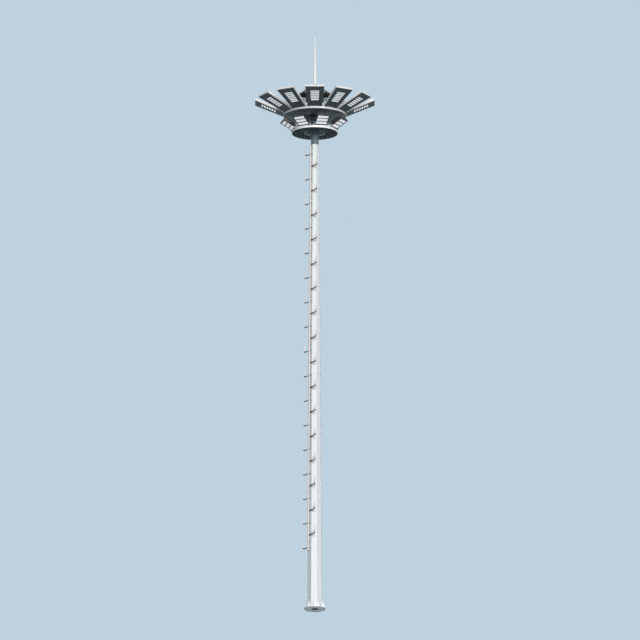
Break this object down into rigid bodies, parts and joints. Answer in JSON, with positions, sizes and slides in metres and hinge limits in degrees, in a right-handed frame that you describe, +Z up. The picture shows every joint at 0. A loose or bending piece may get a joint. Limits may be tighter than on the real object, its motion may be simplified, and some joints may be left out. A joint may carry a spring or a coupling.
{
  "type": "high mast floodlight tower",
  "caption": "Tapered octagonal steel mast with a climbing rail and a fixed head of two rings, flared petal luminaires, aimable floodlights, a conical hood and a spire.",
  "frame": {"origin": "centre of the base flange's underside, on the foundation", "axes": "+Z up along the mast; -Y is the front, towards one petal's centre line; +X is right as seen from the front"},
  "size_m": [3.726, 2.846, 18.61],
  "materials": {
    "mast_paint": "satin",
    "rail_paint": "satin",
    "galvanised": "matt",
    "tube_paint": "satin",
    "ring_paint": "satin",
    "petal_paint": "satin",
    "hood_paint": "satin",
    "spire_paint": "satin",
    "lamp_black": "satin",
    "lamp_face": "gloss"
  },
  "bodies": {
    "tower": {"base_flange": "mast_paint", "base_gussets": "mast_paint", "shaft_lower": "mast_paint", "shaft_upper": "mast_paint", "service_door": "mast_paint", "ladder_rail": "rail_paint", "ladder_brackets": "rail_paint", "ladder_pegs": "rail_paint", "head_tube": "tube_paint", "lower_ring": "ring_paint", "upper_ring": "ring_paint", "lower_ring_arms": "tube_paint", "upper_ring_arms": "tube_paint", "hood": "hood_paint", "spire": "spire_paint", "petal_lamps": "lamp_face", "petal_arms": "galvanised", "floodlight_ears": "galvanised", "petal_1": "petal_paint", "petal_2": "petal_paint", "petal_3": "petal_paint", "petal_4": "petal_paint", "petal_5": "petal_paint", "petal_6": "petal_paint", "petal_7": "petal_paint"},
    "floodlight_1": {"floodlight_housing_1": "lamp_black", "floodlight_lens_1": "lamp_face"},
    "floodlight_2": {"floodlight_housing_2": "lamp_black", "floodlight_lens_2": "lamp_face"},
    "floodlight_3": {"floodlight_housing_3": "lamp_black", "floodlight_lens_3": "lamp_face"},
    "floodlight_4": {"floodlight_housing_4": "lamp_black", "floodlight_lens_4": "lamp_face"}
  },
  "joints": [
    {"name": "floodlight_1_tilt", "type": "hinge", "parent": "tower", "child": "floodlight_1", "pos_m": [-0.67811, -0.18806, 15.62139], "axis": [-0.2672, 0.9636, 0], "range_deg": [-25, 25]},
    {"name": "floodlight_2_tilt", "type": "hinge", "parent": "tower", "child": "floodlight_2", "pos_m": [-0.34652, -0.61247, 15.62139], "axis": [-0.8704, 0.4924, 0], "range_deg": [-25, 25]},
    {"name": "floodlight_3_tilt", "type": "hinge", "parent": "tower", "child": "floodlight_3", "pos_m": [0.18806, -0.67811, 15.62139], "axis": [-0.9636, -0.2672, 0], "range_deg": [-25, 25]},
    {"name": "floodlight_4_tilt", "type": "hinge", "parent": "tower", "child": "floodlight_4", "pos_m": [0.61247, -0.34652, 15.62139], "axis": [-0.4924, -0.8704, 0], "range_deg": [-25, 25]}
  ]
}
